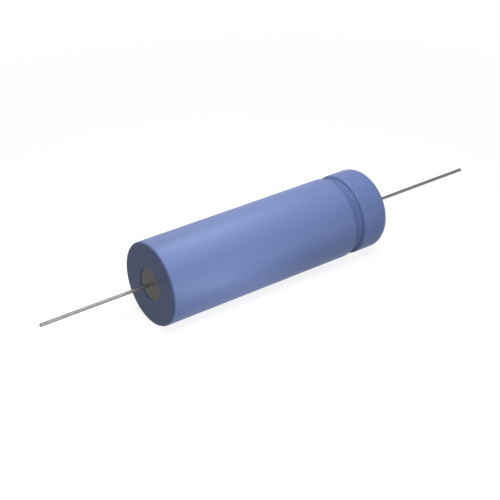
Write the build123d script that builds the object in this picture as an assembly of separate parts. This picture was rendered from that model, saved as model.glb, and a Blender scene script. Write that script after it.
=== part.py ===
from build123d import *
from math import acos, asin, degrees, radians, sin, sqrt
import os

# Axial aluminium electrolytic capacitor, in millimetres and degrees.
# The origin is the middle of the body on the lead axis. +X points to the positive end, and +Z is up.

# Body, measured over its sleeve
body_diameter = 20.0
body_length = 63.5

# Shrunk sleeve: how thick the film is, what it leaves bare of the can bottom, how far it wraps the rim
sleeve_film = 0.2
sleeve_opening = 7.0
sleeve_wrap = 112.0

# Drawn can
can_wall = 0.4
can_bottom = 0.6
can_corner_outside = 0.36
can_corner_inside = 0.5

# Groove rolled into the can, placed from the positive end of the body
groove_from_end = 9.3
groove_width = 3.7
groove_depth = 0.85
groove_lip_inside = 0.15
groove_floor_outside = 0.85

# Rim of the can, curled over the seal until its edge bites into the rubber
rim_radius = 2.2
rim_curl = 172.0
rim_bite = 0.45

# Seal: a hard disc that rests on the groove, and a rubber disc pressed onto it
seal_disc_thickness = 2.8
seal_disc_clearance = 0.05
seal_disc_chamfer = 0.25
rivet_hole_clearance = 0.05

# Rivet through the seal, with its washer
rivet_diameter = 2.5
rivet_head_diameter = 5.5
rivet_head_thickness = 1.0
rivet_head_fillet = 0.3
washer_diameter = 6.5
washer_thickness = 0.5
closing_head_diameter = 4.2
closing_head_height = 0.7
closing_head_flat = 2.0

# Lead wires, measured from the ends of the body, and the welds at their roots
lead_diameter = 0.8
cathode_lead_length = 27.7
anode_lead_length = 34.3
weld_spread = 0.15
lead_tip_chamfer = 0.08

# Paper discs at both ends of the roll
insulator_thickness = 0.3
insulator_clearance = 0.2
insulator_slot_clearance = 0.15

# Roll of foils and paper, its closing tape and the hole that the winding pin leaves
roll_clearance = 0.3
roll_loose_edge = 0.25
winding_pin_diameter = 3.0
paper_margin = 0.8
paper_turn_pitch = 1.0
paper_turn_width = 0.5
tape_thickness = 0.1
tape_width = 22.0

# Foil tabs, each wound in at its own depth under the outside of the roll
tab_thickness = 0.2
tab_width = 5.0
tab_fit = 0.05
tab_end_margin = 5.0
anode_tab_depth = 4.0
anode_fold_clearance = 0.3
anode_fold_gap = 0.4
anode_bend = 0.5
cathode_tab_depth = 2.7
cathode_tab_past_axis = 2.0
cathode_bend = 0.3
cathode_insulator_gap = 0.3
tab_corner = 1.0

# Places worked out along the axis
negative_face = -body_length / 2
positive_face = body_length / 2
can_bottom_outside = negative_face + sleeve_film
can_bottom_inside = can_bottom_outside + can_bottom
groove_start = positive_face - groove_from_end - groove_width / 2
groove_end = positive_face - groove_from_end + groove_width / 2
rim_start = positive_face - sleeve_film - rim_radius
rim_edge = rim_start + rim_radius * sin(radians(rim_curl))
seal_base = groove_end + seal_disc_thickness
seal_face = rim_edge + rim_bite
washer_face = seal_face + washer_thickness
rivet_end = washer_face + closing_head_height
rivet_seat = groove_end - tab_thickness
roll_top = groove_start - insulator_thickness
cathode_turn_height = tab_thickness + cathode_bend
lower_insulator_face = can_bottom_inside + cathode_turn_height + cathode_insulator_gap
roll_bottom = lower_insulator_face + insulator_thickness

# Radii worked out from the outside inwards
body_radius = body_diameter / 2
can_radius = body_radius - sleeve_film
can_bore = can_radius - can_wall
rim_centre = can_radius - rim_radius
rivet_radius = rivet_diameter / 2
roll_radius = can_bore - roll_clearance - tape_thickness
insulator_radius = can_bore - insulator_clearance

# The tabs lie on opposite sides of the axis
anode_tab_height = roll_radius - anode_tab_depth
cathode_tab_height = cathode_tab_depth - roll_radius

# The groove's section is two pairs of tangent arcs with a flat floor between them
groove_lip = groove_lip_inside + can_wall + sleeve_film
groove_floor = groove_floor_outside - sleeve_film
groove_angle = degrees(acos(1 - groove_depth / (groove_lip + groove_floor)))
groove_flank = (groove_lip + groove_floor) * sin(radians(groove_angle))


def wall_line(depth, face_x, corner, inner_radius, wrap):
    """Half section of one skin of the body: end face, corner, wall, groove and curled rim.

    The skin lies at a depth under the outside of the sleeve, and every skin shares the arcs' centres.
    """
    radius = body_radius - depth
    lip = groove_lip - depth
    floor = groove_floor + depth
    lip_centre = body_radius - groove_lip
    floor_centre = body_radius - groove_depth + groove_floor
    floor_start = groove_start + groove_flank
    floor_end = groove_end - groove_flank
    with BuildLine() as line:
        Line((face_x, inner_radius), (face_x, radius - corner))
        CenterArc((face_x + corner, radius - corner), corner, 180, -90)
        Line((face_x + corner, radius), (groove_start, radius))
        CenterArc((groove_start, lip_centre), lip, 90, -groove_angle)
        CenterArc((floor_start, floor_centre), floor, 270 - groove_angle, groove_angle)
        Line((floor_start, radius - groove_depth), (floor_end, radius - groove_depth))
        CenterArc((floor_end, floor_centre), floor, 270, groove_angle)
        CenterArc((groove_end, lip_centre), lip, 90 + groove_angle, -groove_angle)
        Line((groove_end, radius), (rim_start, radius))
        CenterArc((rim_start, rim_centre), body_radius - rim_centre - depth, 90, -wrap)
    return line.line


def between_skins(outer, inner):
    """Solid of revolution about the lead axis between two skins of the body."""
    section = make_face([outer, inner, Line(outer @ 0, inner @ 0), Line(outer @ 1, inner @ 1)])
    return revolve(section, Axis.X)


def turned(points):
    """Solid of revolution about the lead axis from a closed outline of (place, radius) points."""
    return revolve(make_face(Polyline(*points, close=True)), Axis.X)


def insulating_sleeve():
    """Film shrunk onto the can, from the opening over its bottom to the top of the curled rim."""
    sleeve_corner = can_corner_outside + sleeve_film
    outside = wall_line(0, negative_face, sleeve_corner, sleeve_opening / 2, sleeve_wrap)
    inside = wall_line(sleeve_film, can_bottom_outside, can_corner_outside, sleeve_opening / 2, sleeve_wrap)
    return between_skins(outside, inside)


def can():
    """Drawn can in one piece: closed bottom, wall, rolled groove and the rim curled over the seal."""
    outside = wall_line(sleeve_film, can_bottom_outside, can_corner_outside, 0, rim_curl)
    inside = wall_line(sleeve_film + can_wall, can_bottom_inside, can_corner_inside, 0, rim_curl)
    return between_skins(outside, inside)


def end_seal():
    """Moulded rubber disc whose raised shoulder fills the curl, with the rim's edge bitten in beside it."""
    bite_angle = 180 - degrees(asin((seal_face - rim_start) / rim_radius))
    with BuildLine() as line:
        Line((seal_base, rivet_radius), (seal_base, can_bore))
        Line((seal_base, can_bore), (rim_start, can_bore))
        under_rim = CenterArc((rim_start, rim_centre), rim_radius - can_wall, 90, -rim_curl)
        beside_rim = CenterArc((rim_start, rim_centre), rim_radius, 90 - rim_curl, rim_curl - bite_angle)
        Line(under_rim @ 1, beside_rim @ 0)
        Line(beside_rim @ 1, (seal_face, rivet_radius))
        Line((seal_face, rivet_radius), (seal_base, rivet_radius))
    return revolve(make_face(line.line), Axis.X)


def seal_disc():
    """Hard laminate disc that drops into the can until its edge rests on the inside of the groove."""
    hole = rivet_radius + rivet_hole_clearance
    edge = can_bore - seal_disc_clearance
    return turned(
        [
            (groove_end, hole),
            (groove_end, edge - seal_disc_chamfer),
            (groove_end + seal_disc_chamfer, edge),
            (seal_base, edge),
            (seal_base, hole),
        ]
    )


def rivet_washer():
    """Flat washer between the rubber and the rivet's closing head."""
    hole = rivet_radius + rivet_hole_clearance
    return turned(
        [
            (seal_face, hole),
            (seal_face, washer_diameter / 2),
            (washer_face, washer_diameter / 2),
            (washer_face, hole),
        ]
    )


def anode_rivet():
    """Rivet with its head on the inside and a formed head outside, flat on top where the lead is welded."""
    head = rivet_head_diameter / 2
    closing = closing_head_diameter / 2
    flat = closing_head_flat / 2
    head_back = rivet_seat - rivet_head_thickness
    with BuildLine() as line:
        Polyline((rivet_end, 0), (head_back, 0), (head_back, head - rivet_head_fillet))
        CenterArc((head_back + rivet_head_fillet, head - rivet_head_fillet), rivet_head_fillet, 180, -90)
        Polyline(
            (head_back + rivet_head_fillet, head),
            (rivet_seat, head),
            (rivet_seat, rivet_radius),
            (washer_face, rivet_radius),
            (washer_face, closing),
        )
        EllipticalCenterArc((washer_face, flat), closing_head_height, closing - flat, arc_size=90)
        Line((rivet_end, flat), (rivet_end, 0))
    return revolve(make_face(line.line), Axis.X)


def lead(length):
    """Straight round wire along +X, from the flare of its weld at the start to its sheared tip."""
    radius = lead_diameter / 2
    with BuildLine() as line:
        Polyline(
            (weld_spread, radius),
            (length - lead_tip_chamfer, radius),
            (length, radius - lead_tip_chamfer),
            (length, 0),
            (0, 0),
            (0, radius + weld_spread),
        )
        CenterArc((weld_spread, radius + weld_spread), weld_spread, 180, 90)
    return revolve(make_face(line.line), Axis.X)


def anode_lead():
    """Wire butt-welded to the flat top of the rivet."""
    return Pos(rivet_end) * lead(positive_face + anode_lead_length - rivet_end)


def cathode_lead():
    """Wire butt-welded to the bare can bottom, pointing the other way."""
    return Location((can_bottom_outside, 0, 0), (0, 180, 0)) * lead(
        can_bottom_outside - negative_face + cathode_lead_length
    )


def across(sketch, start, end):
    """Extrude a sketch drawn across the axis from one place on the axis to another."""
    return extrude(Plane.YZ.offset(start) * sketch, end - start)


def spiral(start_radius, pitch, half_turns):
    """Spiral round the axis as half circles, each one on from the last by half the pitch in diameter."""
    arcs = []
    for half in range(half_turns):
        radius = start_radius + (half + 0.5) * pitch / 2
        way = 1 if half % 2 else -1
        arcs.append(CenterArc((way * pitch / 4, 0), radius, 180 * half, 180))
    return arcs


def tab_slot(tab_height, clearance, start, end):
    """Cutter for the slot that a tab passes through, tab_height being the middle of the strip."""
    slot = Rectangle(tab_width + 2 * clearance, tab_thickness + 2 * clearance)
    return across(Pos(0, tab_height) * slot, start, end)


def roll_outline():
    """Outline across the roll: its last turn, with the small step of the loose edge."""
    turn = spiral(roll_radius - roll_loose_edge, roll_loose_edge, 2)
    return make_face([*turn, Line(turn[-1] @ 1, turn[0] @ 0)])


def paper_turns():
    """Section across the turns of paper that stand proud at the ends of the roll.

    The first turn starts a little inside the hole of the winding pin, which trims it.
    """
    start = winding_pin_diameter / 2 - paper_turn_pitch / 4
    room = roll_radius - roll_loose_edge - paper_turn_width - start
    half_turns = int(room / (paper_turn_pitch / 2))
    inside = spiral(start, paper_turn_pitch, half_turns)
    outside = spiral(start + paper_turn_width, paper_turn_pitch, half_turns)
    first_edge = Line(inside[0] @ 0, outside[0] @ 0)
    last_edge = Line(inside[-1] @ 1, outside[-1] @ 1)
    return make_face([*inside, *outside, first_edge, last_edge])


def wound_element():
    """Anode foil, paper and cathode foil in one roll, with slots where the tabs lie between the turns."""
    roll = across(roll_outline(), roll_bottom + paper_margin, roll_top - paper_margin)
    roll += across(paper_turns(), roll_bottom, roll_top)
    roll -= across(Circle(winding_pin_diameter / 2), roll_bottom, roll_top)
    roll -= tab_slot(anode_tab_height, tab_fit, roll_bottom + tab_end_margin, roll_top)
    roll -= tab_slot(cathode_tab_height, tab_fit, roll_bottom, roll_top - tab_end_margin)
    return roll


def closing_tape():
    """Band of tape round the middle of the roll, over its loose edge."""
    middle = (roll_bottom + roll_top) / 2
    band = Circle(roll_radius + tape_thickness) - roll_outline()
    return across(band, middle - tape_width / 2, middle + tape_width / 2)


def upper_insulator():
    """Paper disc between the roll and the rivet's head, slotted for the anode tab."""
    disc = across(Circle(insulator_radius), roll_top, groove_start)
    return disc - tab_slot(anode_tab_height, insulator_slot_clearance, roll_top, groove_start)


def lower_insulator():
    """Paper disc between the roll and the can bottom, slotted for the cathode tab."""
    disc = across(Circle(insulator_radius), lower_insulator_face, roll_bottom)
    return disc - tab_slot(cathode_tab_height, insulator_slot_clearance, lower_insulator_face, roll_bottom)


def folded_strip(face_line):
    """Foil strip folded along a line in the XZ plane, which is the face on the left of the metal."""
    section = Wire(face_line.edges()).offset_2d(tab_thickness, kind=Kind.ARC, side=Side.RIGHT, closed=True)
    return extrude(Plane.XZ * make_face(section), tab_width / 2, both=True)


def anode_tab():
    """Strip from between the turns, folded outwards and back, and held under the rivet's inner head."""
    height = anode_tab_height + tab_thickness / 2
    first_leg = groove_start + anode_fold_gap
    fold_radius = (groove_end - first_leg) / 2
    fold_corner = can_bore - groove_depth - anode_fold_clearance
    fold_centre = sqrt(fold_corner**2 - (tab_width / 2) ** 2) - fold_radius
    with BuildLine() as line:
        FilletPolyline(
            (roll_bottom + tab_end_margin, height),
            (first_leg, height),
            (first_leg, fold_centre),
            radius=anode_bend,
        )
        CenterArc((first_leg + fold_radius, fold_centre), fold_radius, 180, -180)
        Line((groove_end, fold_centre), (groove_end, -tab_width / 2))
    strip = folded_strip(line.line)
    free_end = strip.edges().filter_by(Axis.X).group_by(Axis.Z)[0]
    strip = fillet(free_end, tab_corner)
    return strip - across(Circle(rivet_radius + rivet_hole_clearance), rivet_seat, groove_end)


def cathode_tab():
    """Strip from between the turns, folded in across the can bottom and welded flat to its middle."""
    height = cathode_tab_height - tab_thickness / 2
    with BuildLine() as line:
        FilletPolyline(
            (roll_top - tab_end_margin, height),
            (can_bottom_inside, height),
            (can_bottom_inside, cathode_tab_past_axis),
            radius=cathode_turn_height,
        )
    strip = folded_strip(line.line)
    free_end = strip.edges().filter_by(Axis.X).group_by(Axis.Z)[-1]
    return fillet(free_end, tab_corner)


PIECES = [
    insulating_sleeve,
    can,
    cathode_lead,
    anode_lead,
    anode_rivet,
    rivet_washer,
    end_seal,
    seal_disc,
    anode_tab,
    cathode_tab,
    wound_element,
    closing_tape,
    upper_insulator,
    lower_insulator,
]

os.makedirs("parts", exist_ok=True)
for piece in PIECES:
    export_step(piece(), f"parts/{piece.__name__}.step")
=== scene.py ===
import bpy
import numpy as np
from mathutils import Matrix, Vector


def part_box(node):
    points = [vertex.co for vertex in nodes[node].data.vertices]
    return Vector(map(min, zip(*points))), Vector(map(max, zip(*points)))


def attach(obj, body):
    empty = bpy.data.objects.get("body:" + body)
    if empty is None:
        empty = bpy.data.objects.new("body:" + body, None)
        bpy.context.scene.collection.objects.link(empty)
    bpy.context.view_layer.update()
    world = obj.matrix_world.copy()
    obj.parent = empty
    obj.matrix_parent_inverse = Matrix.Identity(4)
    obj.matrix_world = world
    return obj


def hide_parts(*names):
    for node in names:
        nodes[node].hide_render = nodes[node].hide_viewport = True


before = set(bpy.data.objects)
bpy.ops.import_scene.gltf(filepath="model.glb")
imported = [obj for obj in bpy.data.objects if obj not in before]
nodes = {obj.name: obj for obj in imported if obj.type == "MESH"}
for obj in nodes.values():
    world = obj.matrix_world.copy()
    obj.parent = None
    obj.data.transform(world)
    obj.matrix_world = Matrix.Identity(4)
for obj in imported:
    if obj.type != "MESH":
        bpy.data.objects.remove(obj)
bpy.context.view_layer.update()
mm = 0.001


# Roll of foil and paper
# Two aluminium foils with soft paper between them, wound on a pin that is pulled out again. The ends show
# the edges of the paper as fine turns, darkened by the electrolyte that they soak up.


class Reading:
    """What a shader node gives out. Python arithmetic on it adds the Math node that works it out."""

    def __init__(self, tree, output):
        self.tree = tree
        self.output = output

    def sibling(self, name):
        """Another output of the same node."""
        return Reading(self.tree, self.output.node.outputs[name])

    def math(self, operation, *values):
        return self.tree.node("ShaderNodeMath", {"operation": operation}, dict(enumerate(values)))

    def __add__(self, other):
        return self.math("ADD", self, other)

    def __radd__(self, other):
        return self.math("ADD", other, self)

    def __sub__(self, other):
        return self.math("SUBTRACT", self, other)

    def __rsub__(self, other):
        return self.math("SUBTRACT", other, self)

    def __mul__(self, other):
        return self.math("MULTIPLY", self, other)

    def __rmul__(self, other):
        return self.math("MULTIPLY", other, self)

    def __pow__(self, other):
        return self.math("POWER", self, other)


class Nodes:
    """A node tree, with one method that adds any node and one that mixes two colours."""

    def __init__(self, tree):
        self.tree = tree
        tree.nodes.clear()

    def node(self, kind, settings=None, sockets=None, output=0):
        """Add a node, set it up, feed its sockets by place or name, and give back an output if it has any."""
        made = self.tree.nodes.new(kind)
        for setting, value in (settings or {}).items():
            setattr(made, setting, value)
        for socket, value in (sockets or {}).items():
            if isinstance(value, Reading):
                self.tree.links.new(value.output, made.inputs[socket])
            else:
                made.inputs[socket].default_value = value
        return Reading(self, made.outputs[output]) if made.outputs else None

    def blend(self, share, first, second):
        """Colour that goes from the first to the second as the share goes from 0 to 1.

        Between colours, a Mix node has its share at socket 0, the two at 6 and 7, and the result at output 2.
        """
        colours = {0: share, 6: (*first, 1), 7: (*second, 1)}
        return self.node("ShaderNodeMix", {"data_type": "RGBA"}, colours, output=2)


class Finish(Nodes):
    """A material: patterns on Object coordinates that feed one Principled BSDF."""

    def __init__(self, name):
        self.material = bpy.data.materials.new(name)
        self.material.use_nodes = True
        super().__init__(self.material.node_tree)
        self.object_place = self.node("ShaderNodeTexCoord", output="Object")

    def split(self):
        """The x, y and z of a point, as three readings."""
        x = self.node("ShaderNodeSeparateXYZ", {}, {"Vector": self.object_place})
        return x, x.sibling("Y"), x.sibling("Z")

    def from_axis(self):
        """Distance from the lead axis: the square root of y squared plus z squared."""
        y, z = self.split()[1:]
        return (y * y + z * z) ** 0.5

    def noise(self, size, detail=2.0, stretch=(1, 1, 1)):
        """Soft noise from 0 to 1, its lumps of a size in metres and longer along a stretched axis."""
        scale = [1 / (size * share) for share in stretch]
        place = self.node("ShaderNodeMapping", {}, {"Vector": self.object_place, "Scale": scale})
        return self.node("ShaderNodeTexNoise", {}, {"Vector": place, "Scale": 1.0, "Detail": detail})

    def relief(self, height, depth):
        """Bump whose height, from 0 to 1, stands for a depth in metres."""
        return self.node("ShaderNodeBump", {}, {"Height": height, "Distance": depth, "Strength": 1.0})

    def surface(self, **sockets):
        """End the material in a Principled BSDF. The keywords are its sockets' names, with _ for a space."""
        named = {name.replace("_", " "): value for name, value in sockets.items()}
        shader = self.node("ShaderNodeBsdfPrincipled", {}, named)
        self.node("ShaderNodeOutputMaterial", {}, {"Surface": shader})
        return self.material


def dress(name, material):
    """Give a finish to a CAD node as it stands."""
    mesh = nodes[name].data
    mesh.materials.clear()
    mesh.materials.append(material)


def soaked_paper():
    """Paper edges in fine turns: a sine of the distance from the axis, mottled by noise."""
    finish = Finish("soaked_paper")
    turn = finish.from_axis() * (2 * np.pi / (0.25 * mm))
    turn = turn.math("SINE", turn) * 0.5 + 0.5
    mottle = finish.noise(1.5 * mm, detail=4.0)
    return finish.surface(
        Base_Color=finish.blend(turn * 0.4 + mottle * 0.6, (0.45, 0.37, 0.24), (0.72, 0.66, 0.53)),
        Roughness=0.75 - mottle * 0.2,
        Normal=finish.relief(turn, 0.03 * mm),
    )


dress("wound_element", soaked_paper())


# Closing tape
# A band of plain polyester tape that is run round the roll after winding, so that it can't spring open.


def amber_tape():
    """Clear film over glue that has taken in small bubbles."""
    finish = Finish("amber_tape")
    bubbles = finish.noise(0.8 * mm, detail=3.0)
    return finish.surface(
        Base_Color=finish.blend(bubbles, (0.62, 0.45, 0.17), (0.74, 0.58, 0.28)),
        Roughness=0.22 + bubbles * 0.15,
        Normal=finish.relief(bubbles, 0.01 * mm),
    )


dress("closing_tape", amber_tape())


# Foil tabs
# Soft aluminium strips, stitched to the foils while they are wound. One goes to the rivet and the other is
# welded to the can bottom.


def rolled_foil():
    """Aluminium strip with the fine lines that the rolls leave along it."""
    finish = Finish("rolled_foil")
    lines = finish.noise(0.05 * mm, detail=2.0, stretch=(60, 1, 1))
    return finish.surface(
        Base_Color=finish.blend(lines, (0.60, 0.60, 0.60), (0.76, 0.76, 0.75)),
        Metallic=1.0,
        Roughness=0.3 + lines * 0.12,
        Normal=finish.relief(lines, 0.003 * mm),
    )


foil = rolled_foil()
dress("anode_tab", foil)
dress("cathode_tab", foil)


# Paper insulators
# Punched discs that keep the ends of the foils away from the rivet and from the can bottom.


def punched_paper():
    """Absorbent card with fibres lying across the disc."""
    finish = Finish("punched_paper")
    fibres = finish.noise(0.12 * mm, detail=5.0, stretch=(1, 6, 1))
    return finish.surface(
        Base_Color=finish.blend(fibres, (0.56, 0.50, 0.38), (0.74, 0.69, 0.57)),
        Roughness=0.8 + fibres * 0.1,
        Normal=finish.relief(fibres, 0.02 * mm),
    )


card = punched_paper()
dress("upper_insulator", card)
dress("lower_insulator", card)


# Can
# One deep-drawn cup of soft aluminium. Its closed bottom is bare inside the opening of the sleeve, and its
# mouth is curled over the rubber after the groove is rolled.


def drawn_aluminium():
    """Aluminium cup: faint rings left by the punch on its dull bottom, draw lines along its cleaner wall. Its
    dark bottom is painted shade for a dark reflection.
    """
    finish = Finish("drawn_aluminium")
    ring = finish.from_axis() * (2 * np.pi / (0.35 * mm))
    ring = ring.math("SINE", ring) * 0.5 + 0.5
    lines = finish.noise(0.08 * mm, detail=3.0, stretch=(40, 1, 1))
    bloom = finish.noise(2.5 * mm, detail=3.0)
    # Painted shade: the base colour is dark at the bottom end and lightens towards the rim. The same share
    # also makes the bottom dull and the wall cleaner.
    shaded_dull_end = -30 * mm
    lit_clean_end = 10 * mm
    clean_and_unshaded = (finish.split()[0] - shaded_dull_end) * (1 / (lit_clean_end - shaded_dull_end))
    clean_and_unshaded = clean_and_unshaded.math("MINIMUM", clean_and_unshaded.math("MAXIMUM", clean_and_unshaded, 0.0), 1.0)
    return finish.surface(
        Base_Color=finish.blend(clean_and_unshaded * 0.9 + bloom * 0.1, (0.104, 0.101, 0.100), (0.36, 0.36, 0.355)),
        Metallic=0.85,
        Roughness=0.6 - clean_and_unshaded * 0.25 + bloom * 0.08,
        Normal=finish.relief(ring * 0.3 + lines * 0.7, 0.004 * mm),
    )


dress("can", drawn_aluminium())


# Seal
# A hard laminate disc drops onto the inside of the groove and a rubber disc is pressed onto it. The curled
# rim of the can bites into the rubber and closes the can.


def pressed_laminate():
    """Brown phenolic board with paper layers that show as streaks."""
    finish = Finish("pressed_laminate")
    streaks = finish.noise(0.3 * mm, detail=4.0, stretch=(1, 5, 1))
    return finish.surface(
        Base_Color=finish.blend(streaks, (0.19, 0.09, 0.035), (0.32, 0.17, 0.08)),
        Roughness=0.42 + streaks * 0.15,
        Normal=finish.relief(streaks, 0.01 * mm),
    )


def moulded_rubber():
    """Black rubber with the grain of its mould and a faint grey bloom."""
    finish = Finish("moulded_rubber")
    grain = finish.noise(0.12 * mm, detail=3.0)
    bloom = finish.noise(2 * mm, detail=4.0)
    return finish.surface(
        Base_Color=finish.blend(bloom, (0.018, 0.018, 0.019), (0.042, 0.041, 0.040)),
        Roughness=0.55 + bloom * 0.15,
        Specular_IOR_Level=0.4,
        Normal=finish.relief(grain, 0.012 * mm),
    )


dress("seal_disc", pressed_laminate())
dress("end_seal", moulded_rubber())


# Rivet and washer
# An aluminium rivet carries the current through the seal. Its outer end is upset over a washer by a
# cup-shaped tool, and the flat on top takes the weld of the lead.


def cold_formed_aluminium():
    """Bright aluminium with the light pitting of a cold-formed head."""
    finish = Finish("cold_formed_aluminium")
    pits = finish.noise(0.25 * mm, detail=4.0)
    return finish.surface(
        Base_Color=finish.blend(pits, (0.36, 0.36, 0.355), (0.46, 0.46, 0.455)),
        Metallic=1.0,
        Roughness=0.32 + pits * 0.14,
        Normal=finish.relief(pits, 0.008 * mm),
    )


bright = cold_formed_aluminium()
dress("anode_rivet", bright)
dress("rivet_washer", bright)


# Leads
# Tin-plated wire, drawn to size and straightened, then butt-welded to the can bottom at one end and to the
# rivet at the other.


def tinned_wire():
    """Soft grey tin with draw lines along the wire."""
    finish = Finish("tinned_wire")
    lines = finish.noise(0.06 * mm, detail=2.0, stretch=(80, 1, 1))
    patches = finish.noise(1.2 * mm, detail=3.0, stretch=(5, 1, 1))
    return finish.surface(
        Base_Color=finish.blend(lines * 0.5 + patches * 0.5, (0.150, 0.147, 0.143), (0.190, 0.187, 0.182)),
        Metallic=0.85,
        Roughness=0.33 + patches * 0.1,
        Normal=finish.relief(lines, 0.0015 * mm),
    )


tin = tinned_wire()
dress("cathode_lead", tin)
dress("anode_lead", tin)


# Sleeve
# A length of thin blue film, shrunk over the finished can with hot air. It leaves a round opening over the
# can bottom, follows the rolled groove and draws in over the curled rim.

sleeve_low, sleeve_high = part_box("insulating_sleeve")
negative_face = sleeve_low.x
positive_face = sleeve_high.x
body_radius = sleeve_high.z
film = 0.2 * mm
opening_radius = 3.5 * mm
front_corner = 0.56 * mm
groove_start = positive_face - 11.15 * mm
groove_width = 3.7 * mm
groove_depth = 0.85 * mm
groove_lip = 0.75 * mm
groove_floor = 0.65 * mm
curl_radius = 2.4 * mm
curl_angle = 112
sleeve_segments = 256


def arc(centre_x, centre_r, radius, start, turn, steps):
    """Arc in the half section: the centre plus the radius times the cosine and sine of a turning angle."""
    angle = np.radians(start + turn * np.linspace(0, 1, steps))
    return np.stack([centre_x + radius * np.cos(angle), centre_r + radius * np.sin(angle)], axis=1)


def straight(x0, r0, x1, r1, steps):
    """Evenly spaced points from one place to another, both left out."""
    share = np.linspace(0, 1, steps + 2)[1:-1, None]
    return (1 - share) * np.array([x0, r0]) + share * np.array([x1, r1])


def skin(depth):
    """Half section of one side of the film, a depth under its outside: face, corner, wall, groove, curl.

    Each flank of the groove is two arcs, lip and floor. Both turn by the angle whose cosine is 1 less the
    groove's depth over the sum of their radii, and reach along the axis by that sum times the angle's sine.
    An arc that runs straight on into another leaves out the last point, which is the other's first.
    """
    radius = body_radius - depth
    corner = front_corner - depth
    lip = groove_lip - depth
    floor = groove_floor + depth
    tilt = np.degrees(np.arccos(1 - groove_depth / (lip + floor)))
    flank = (lip + floor) * np.sin(np.radians(tilt))
    lip_centre = body_radius - groove_lip
    floor_centre = radius - groove_depth + floor
    floor_start = groove_start + flank
    groove_end = groove_start + groove_width
    floor_end = groove_end - flank
    curl = curl_radius - depth
    curl_x = positive_face - curl_radius
    return np.concatenate([
        straight(negative_face + depth, opening_radius, negative_face + depth, radius - corner, 12),
        arc(negative_face + depth + corner, radius - corner, corner, 180, -90, 13),
        straight(negative_face + depth + corner, radius, groove_start, radius, 60),
        arc(groove_start, lip_centre, lip, 90, -tilt, 10)[:-1],
        arc(floor_start, floor_centre, floor, 270 - tilt, tilt, 8),
        straight(floor_start, radius - groove_depth, floor_end, radius - groove_depth, 4),
        arc(floor_end, floor_centre, floor, 270, tilt, 8)[:-1],
        arc(groove_end, lip_centre, lip, 90 + tilt, -tilt, 10),
        straight(groove_end, radius, curl_x, radius, 6),
        arc(curl_x, body_radius - curl_radius, curl, 90, -curl_angle, 24),
    ])


def cut_edge(outer, inner, steps=5):
    """Rounded cut edge of the film, as a half circle from a point on one skin to a point on the other.

    From the middle, the cosine of an angle leads towards the outer point and its sine ahead, square to that.
    """
    middle = (outer + inner) / 2
    reach = (outer - inner) / 2
    ahead = np.array([reach[1], -reach[0]])
    angle = np.linspace(0, np.pi, steps + 2)[1:-1, None]
    return middle + np.cos(angle) * reach + np.sin(angle) * ahead


def turned_mesh(name, outline, segments):
    """Surface of revolution of a closed outline about the lead axis.

    Point (x, r) turned by an angle a is (x, r sin a, r cos a), for every point and every angle at once. The
    outline runs clockwise, with r upwards, so that the faces point outwards.
    """
    angle = np.linspace(0, 2 * np.pi, segments, endpoint=False)
    x = np.broadcast_to(outline[:, 0], (segments, len(outline)))
    y = np.sin(angle)[:, None] * outline[:, 1]
    z = np.cos(angle)[:, None] * outline[:, 1]
    points = np.stack([x, y, z], axis=2).reshape(-1, 3)
    column = np.arange(segments)[:, None] * len(outline)
    row = np.arange(len(outline))
    next_column = (column + len(outline)) % len(points)
    next_row = (row + 1) % len(outline)
    faces = np.stack([column + row, column + next_row, next_column + next_row, next_column + row], axis=2)
    mesh = bpy.data.meshes.new(name)
    mesh.from_pydata(points.tolist(), [], faces.reshape(-1, 4).tolist())
    mesh.polygons.foreach_set("use_smooth", np.ones(len(mesh.polygons), bool))
    mesh.update()
    piece = bpy.data.objects.new(name, mesh)
    bpy.context.scene.collection.objects.link(piece)
    return piece


def shrunk_film():
    """Blue film of a soft gloss, uneven from shrinking, darkened inside the groove by painted shade that
    deepens with the groove's depth.
    """
    finish = Finish("shrunk_film")
    cloud = finish.noise(9 * mm, detail=2.0)
    peel = finish.noise(0.9 * mm, detail=2.0)
    x = finish.split()[0]
    in_groove = x.math("COMPARE", x, groove_start + groove_width / 2, groove_width / 2)
    # Painted shade: the colour darkens inside the groove, more the deeper the film lies below the body's
    # radius.
    painted_groove_shade = (body_radius - finish.from_axis()) * (1 / groove_depth) * in_groove
    tone_and_groove_shade = (cloud * 0.35 + 0.65) * (1 - painted_groove_shade * 0.9)
    return finish.surface(
        Base_Color=finish.blend(tone_and_groove_shade, (0.078, 0.117, 0.266), (0.126, 0.176, 0.380)),
        Roughness=0.46 + peel * 0.06,
        IOR=1.35,
        Specular_IOR_Level=0.72,
        Specular_Tint=(0.7, 0.84, 1.0, 1.0),
        Normal=finish.relief(peel, 0.004 * mm),
    )


outer_skin = skin(0)
inner_skin = skin(film)[::-1]
opening_edge = cut_edge(inner_skin[-1], outer_skin[0])
curl_edge = cut_edge(outer_skin[-1], inner_skin[0])
sleeve = turned_mesh(
    "shrunk_sleeve", np.concatenate([outer_skin, curl_edge, inner_skin, opening_edge]), sleeve_segments
)
sleeve.data.materials.append(shrunk_film())
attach(sleeve, "root")
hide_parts("insulating_sleeve")


# Floor
# A wide pale floor for the picture, which touches the body along its lowest line. It isn't part of the
# capacitor, shows white, and keeps the soft shadow.

floor_reach = 6.0
shadow_reach = 170 * mm
shadow_share = 0.45

floor_mesh = bpy.data.meshes.new("floor")
corners = [(-1, -1), (1, -1), (1, 1), (-1, 1)]
floor_mesh.from_pydata(
    [(x * floor_reach, y * floor_reach, sleeve_low.z) for x, y in corners], [], [(0, 1, 2, 3)]
)
floor = bpy.data.objects.new("floor", floor_mesh)
bpy.context.scene.collection.objects.link(floor)


def seen_by_eye(shading):
    """1 for what the camera, a reflection or a clear body shows, 0 for light that only bounces."""
    camera = shading.node("ShaderNodeLightPath", output="Is Camera Ray")
    seen = camera + camera.sibling("Is Glossy Ray") + camera.sibling("Is Transmission Ray")
    return seen.math("MINIMUM", seen, 1.0)


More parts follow.
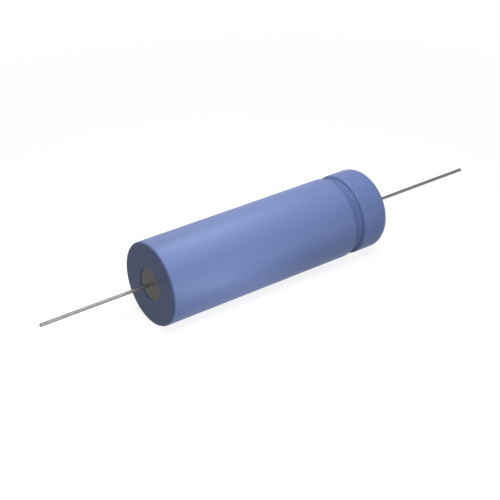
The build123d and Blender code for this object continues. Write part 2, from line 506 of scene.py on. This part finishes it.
def pale_floor():
    """Dim paint to bounced light. Seen, it is white, and near the body a lit paint keeps the shadow.

    The share of the lit paint falls from the middle as 1 less the distance over the shadow's reach, and
    fades softly where it ends.
    """
    finish = Finish("pale_floor")
    x, y = finish.split()[:2]
    far = (x * x + y * y) ** 0.5 * (1 / shadow_reach)
    share = (1 - far.math("SMOOTH_MIN", far, 1.0, 0.3)) * shadow_share
    paint = finish.node("ShaderNodeBsdfDiffuse", {}, {"Color": (0.12, 0.12, 0.12, 1)})
    matt = finish.node("ShaderNodeBsdfDiffuse", {}, {"Color": (0.95, 0.95, 0.95, 1)})
    glow = finish.node("ShaderNodeEmission", {}, {"Color": (1, 1, 1, 1), "Strength": 0.6})
    lit = finish.node("ShaderNodeAddShader", {}, {0: matt, 1: glow})
    white = finish.node("ShaderNodeEmission", {}, {"Color": (1, 1, 1, 1), "Strength": 1.0})
    shown = finish.node("ShaderNodeMixShader", {}, {0: share, 1: white, 2: lit})
    both = finish.node("ShaderNodeMixShader", {}, {0: seen_by_eye(finish), 1: paint, 2: shown})
    finish.node("ShaderNodeOutputMaterial", {}, {"Surface": both})
    return finish.material


floor_mesh.materials.append(pale_floor())


# Light
# A white studio that gives little light itself. Two small boxes above lay the bright band along the film, a
# wide one fills its near side, and weaker ones reach the front end, its rim, the low side and the back.

room_strength = 0.01


def studio_room():
    """The room shows white and lights softly."""
    world = bpy.data.worlds.new("studio_room")
    world.use_nodes = True
    shading = Nodes(world.node_tree)
    strength = room_strength + seen_by_eye(shading) * (1 - room_strength)
    light = shading.node("ShaderNodeBackground", {}, {"Color": (1, 1, 1, 1), "Strength": strength})
    shading.node("ShaderNodeOutputWorld", {}, {"Surface": light})
    bpy.context.scene.world = world


def light_box(name, place, target, width, height, power):
    """Rectangle of light at a place, turned to face a target. Sizes are in metres and the power in watts."""
    lamp = bpy.data.lights.new(name, "AREA")
    lamp.shape = "RECTANGLE"
    lamp.size = width
    lamp.size_y = height
    lamp.energy = power
    box = bpy.data.objects.new(name, lamp)
    box.visible_camera = False
    facing = (Vector(target) - Vector(place)).to_track_quat("-Z", "Y")
    box.matrix_world = Matrix.Translation(place) @ facing.to_matrix().to_4x4()
    bpy.context.scene.collection.objects.link(box)


studio_room()
light_box("overhead_box", (0.023, -0.021, 0.095), (-0.025, -0.004, 0.009), 0.03, 0.03, 0.027)
light_box("crest_box", (0.023, 0.027, 0.092), (-0.025, -0.004, 0.009), 0.03, 0.03, 0.053)
light_box("front_box", (-0.040, -0.060, 0.120), (-0.030, -0.050, 0.0), 0.05, 0.05, 0.046)
light_box("corner_box", (-0.036, -0.045, 0.070), (-0.031, -0.006, 0.007), 0.02, 0.02, 0.013)
light_box("rim_box", (-0.096, -0.087, 0.085), (-0.031, -0.008, 0.006), 0.05, 0.14, 0.024)
light_box("side_box", (0.10, -0.50, 0.05), (0.0, 0.0, 0.0), 0.30, 0.08, 1.13)
light_box("low_box", (-0.012, -0.031, -0.0095), (-0.025, -0.010, 0.001), 0.01, 0.01, 0.0044)
light_box("back_box", (0.10, 0.40, 0.20), (0.0, 0.0, 0.0), 0.30, 0.20, 0.25)


# Camera
# It looks from the front left and above, over the bare can bottom, with the long lens of the picture.

view_azimuth = -36.92
view_elevation = 29.67
view_distance = 300.6 * mm
aim_right = -2.84 * mm
aim_up = -1.64 * mm
lens = 91.2

azimuth = np.radians(view_azimuth)
elevation = np.radians(view_elevation)
level = np.cos(elevation)
forward = Vector((-np.sin(azimuth) * level, np.cos(azimuth) * level, -np.sin(elevation)))
right = Vector((np.cos(azimuth), np.sin(azimuth), 0))
up = right.cross(forward)
view = bpy.data.cameras.new("view")
view.lens = lens
view.clip_start = 0.01
view.clip_end = 50
camera = bpy.data.objects.new("view", view)
spot = right * aim_right + up * aim_up - forward * view_distance
camera.matrix_world = Matrix.Translation(spot) @ Matrix((right, up, -forward)).transposed().to_4x4()
bpy.context.scene.collection.objects.link(camera)
bpy.context.scene.camera = camera

bpy.context.scene.view_settings.view_transform = "Standard"
